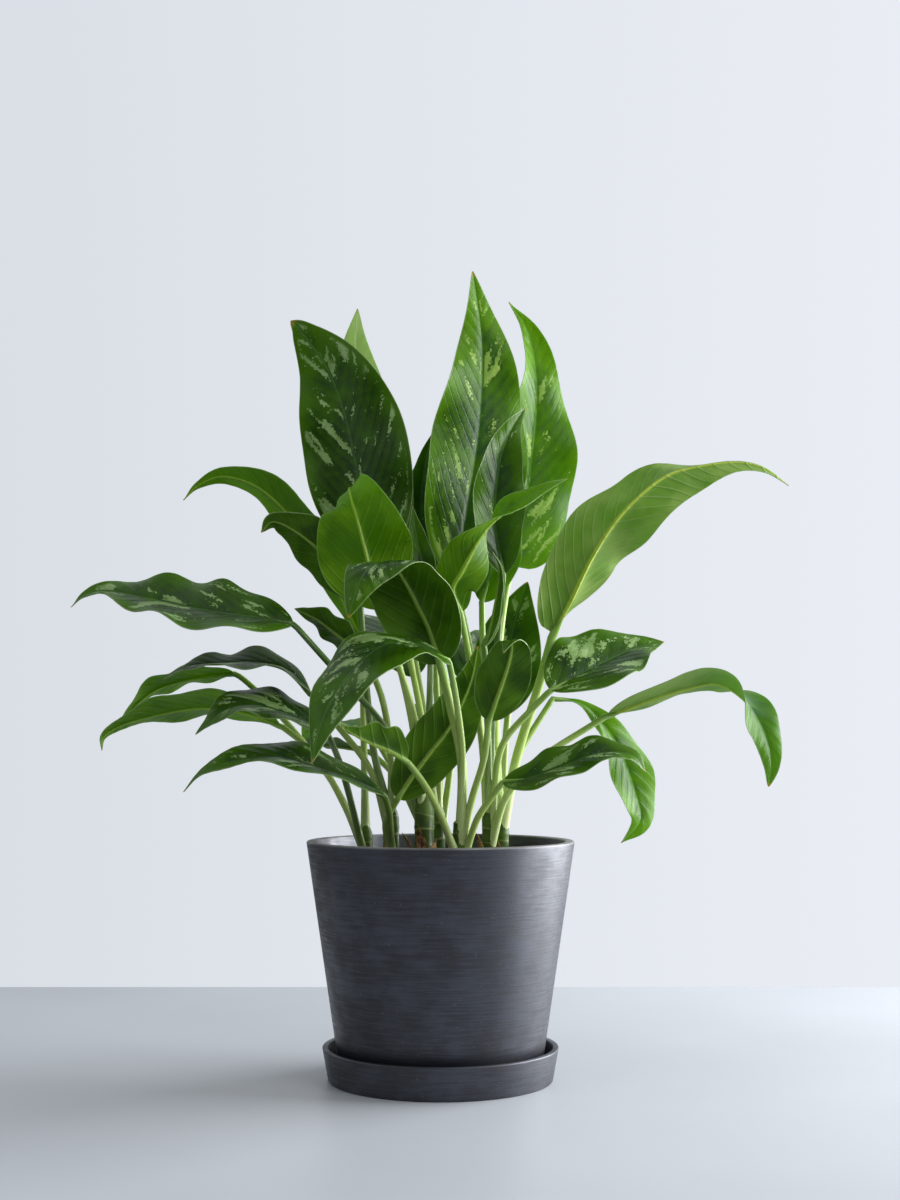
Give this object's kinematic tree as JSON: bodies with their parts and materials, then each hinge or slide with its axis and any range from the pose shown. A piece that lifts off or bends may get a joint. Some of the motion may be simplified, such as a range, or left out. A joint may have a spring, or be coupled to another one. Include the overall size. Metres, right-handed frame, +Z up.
{
  "type": "potted chinese evergreen",
  "caption": "Chinese evergreen plant with arching variegated leaves on slender stalks, in a tapered round pot that stands in a flared saucer.",
  "frame": {"origin": "middle of the saucer's flat foot, on the surface that the object stands on", "axes": "+Z up the pot's axis, +X to the viewer's right as pictured, -Y towards the viewer"},
  "size_m": [0.533, 0.3546, 0.6118],
  "materials": {
    "pot_plastic": "matte",
    "soil_mix": "matte",
    "stem_green": "satin",
    "leaf_dark": "satin",
    "leaf_bright": "satin",
    "leaf_pale": "satin"
  },
  "bodies": {
    "root": {"saucer": "pot_plastic", "pot": "pot_plastic", "soil": "soil_mix", "shoot_left": "stem_green", "shoot_middle_left": "stem_green", "shoot_centre": "stem_green", "shoot_back": "stem_green", "shoot_cut": "stem_green", "shoot_right_centre": "stem_green", "shoot_right": "stem_green", "leaf_back_left_tall": "leaf_dark", "leaf_back_left_pale": "leaf_pale", "leaf_centre_tall": "leaf_bright", "leaf_centre_right_dark": "leaf_dark", "leaf_centre_hidden": "leaf_dark", "leaf_centre_small": "leaf_dark", "leaf_right_tall": "leaf_bright", "leaf_right_inner": "leaf_bright", "leaf_front_left_bright": "leaf_bright", "leaf_centre_folded": "leaf_bright", "leaf_front_centre_big": "leaf_dark", "leaf_young_furled": "leaf_dark", "leaf_front_left": "leaf_dark", "leaf_left_mid": "leaf_dark", "leaf_far_left_upper": "leaf_bright", "leaf_left_inner": "leaf_dark", "leaf_left_big": "leaf_dark", "leaf_left_arching": "leaf_dark", "leaf_left_back": "leaf_bright", "leaf_left_low": "leaf_bright", "leaf_left_glossy": "leaf_dark", "leaf_left_lowest": "leaf_dark", "leaf_left_behind": "leaf_dark", "leaf_front_low_folded": "leaf_dark", "leaf_centre_low": "leaf_dark", "leaf_front_right_upright": "leaf_dark", "leaf_right_centre_behind": "leaf_dark", "leaf_right_big": "leaf_pale", "leaf_right_glossy": "leaf_dark", "leaf_right_drooping": "leaf_bright", "leaf_far_right": "leaf_dark", "leaf_right_lowest": "leaf_dark", "leaf_rear_left": "leaf_dark", "leaf_rear_right": "leaf_dark", "leaf_rear_low": "leaf_dark", "leaf_rear_upright": "leaf_dark", "leaf_rear_left_low": "leaf_bright", "leaf_rear_left_high": "leaf_dark", "leaf_rear_right_high": "leaf_bright"}
  },
  "joints": []
}
